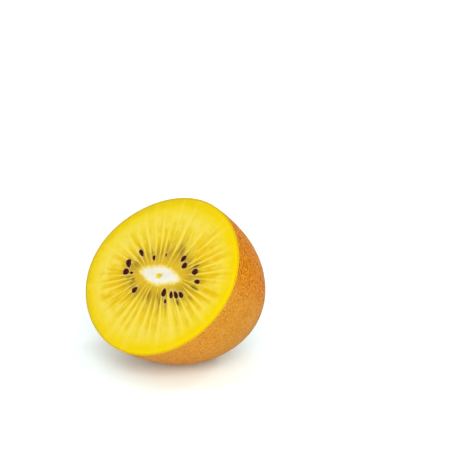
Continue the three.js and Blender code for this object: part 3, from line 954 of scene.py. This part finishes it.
def make_stem_scar():
    """The corky scar of the stalk: a ragged ring round a sunken middle with a stub of dry fibres."""
    columns = 96
    angle = angles(columns)
    ragged = 1 + 0.05 * np.cos(5 * angle + 1) + 0.035 * np.cos(9 * angle + 2) + 0.02 * np.cos(17 * angle)
    # Share of the scar's radius, and height in the fruit's frame, which is outwards where it is negative
    profile = [
        (0.97, 0.35), (1.02, 0.1), (1.0, -0.2), (0.93, -0.42), (0.83, -0.5), (0.72, -0.44), (0.62, -0.28),
        (0.52, -0.16), (0.42, -0.12), (0.36, -0.2), (0.31, -0.32), (0.24, -0.36), (0.12, -0.3),
    ]
    rings = []
    for share, rise in profile:
        radius = SCAR_RADIUS * share * (1 + (ragged - 1) * share)
        wave = 0.06 * np.cos(7 * angle + 9 * share) + 0.04 * np.cos(13 * angle - 6 * share)
        z = stem_hollow(radius) - HALF_LENGTH + rise + wave * min(1, 1.6 * share)
        rings.append(np.column_stack([radius * np.cos(angle), radius * np.sin(angle), z]))
    base = stem_hollow(0) - HALF_LENGTH
    points = np.concatenate(rings + [np.array([[0, 0, base + 0.35], [0, 0, base - 0.28]])])
    piece = new_piece("stem_scar", placed(points), ring_faces(rings, (True, True)), {"place": points})
    piece.data.materials.append(scar_material())
    return piece


# Studio


def light(name, place, aim, size, power):
    """A soft square lamp, placed and aimed in metres."""
    lamp = bpy.data.lights.new(name, "AREA")
    lamp.size = size
    lamp.energy = power
    holder = bpy.data.objects.new(name, lamp)
    holder.location = place
    holder.rotation_euler = (Vector(aim) - Vector(place)).to_track_quat("-Z", "Y").to_euler()
    bpy.context.scene.collection.objects.link(holder)


def make_studio():
    scene = bpy.context.scene
    world = bpy.data.worlds.new("white_room")
    world.use_nodes = True
    backdrop = world.node_tree.nodes["Background"]
    backdrop.inputs["Color"].default_value = (1, 1, 1, 1)
    backdrop.inputs["Strength"].default_value = WORLD_STRENGTH
    scene.world = world
    scene.view_settings.view_transform = "Standard"
    mesh = bpy.data.meshes.new("floor")
    corners = [(FLOOR_REACH * x, FLOOR_REACH * y, 0) for x, y in ((-1, -1), (1, -1), (1, 1), (-1, 1))]
    mesh.from_pydata(corners, [], [(0, 1, 2, 3)])
    floor = bpy.data.objects.new("floor", mesh)
    scene.collection.objects.link(floor)
    material, _, shader = new_material("white_floor")
    shader.inputs["Base Color"].default_value = FLOOR_COLOUR
    shader.inputs["Emission Color"].default_value = FLOOR_GLOW
    shader.inputs["Emission Strength"].default_value = FLOOR_GLOW_STRENGTH
    shader.inputs["Roughness"].default_value = 0.6
    shader.inputs["Specular IOR Level"].default_value = 0.1
    mesh.materials.append(material)
    for lamp in LAMPS:
        light(**lamp)


def make_camera():
    """The camera, level, and aimed so that the cut's centre lands on its pixel."""
    target = CUT_CENTRE * MM
    towards_camera = Vector((
        math.sin(VIEW_AZIMUTH) * math.cos(VIEW_ELEVATION),
        -math.cos(VIEW_AZIMUTH) * math.cos(VIEW_ELEVATION),
        math.sin(VIEW_ELEVATION),
    ))
    right = (CENTRE_PIXEL[0] - PICTURE_SIDE / 2) / FOCAL_PIXELS
    up = (PICTURE_SIDE / 2 - CENTRE_PIXEL[1]) / FOCAL_PIXELS
    length = math.sqrt(right**2 + up**2 + 1)
    pitch = math.asin(-towards_camera.z * length / math.hypot(up, 1)) - math.atan2(up, 1)
    ahead = math.cos(pitch) - up * math.sin(pitch)
    heading = math.atan2(-towards_camera.x, -towards_camera.y) - math.atan2(right, ahead)
    camera = bpy.data.cameras.new("camera")
    camera.sensor_width = SENSOR_WIDTH
    camera.lens = FOCAL_PIXELS * SENSOR_WIDTH / PICTURE_SIDE
    camera.clip_start = 0.01
    holder = bpy.data.objects.new("camera", camera)
    holder.location = target + towards_camera * VIEW_DISTANCE * MM
    holder.rotation_euler = (math.pi / 2 + pitch, 0, -heading)
    bpy.context.scene.collection.objects.link(holder)
    bpy.context.scene.camera = holder


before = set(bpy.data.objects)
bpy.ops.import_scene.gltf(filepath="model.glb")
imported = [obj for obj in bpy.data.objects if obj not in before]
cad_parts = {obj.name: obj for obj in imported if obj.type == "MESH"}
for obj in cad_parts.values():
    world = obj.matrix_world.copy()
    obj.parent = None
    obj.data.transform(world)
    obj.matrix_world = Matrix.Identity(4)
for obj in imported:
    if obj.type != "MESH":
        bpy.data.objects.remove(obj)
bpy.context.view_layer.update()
make_camera()
make_studio()
for make, slot in (
    (make_flesh, "flesh"),
    (make_seeds, "seed"),
    (make_skin, "skin"),
    (make_stem_scar, "skin"),
):
    piece = make()
    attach(piece, "root")
    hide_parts("half_kiwi")
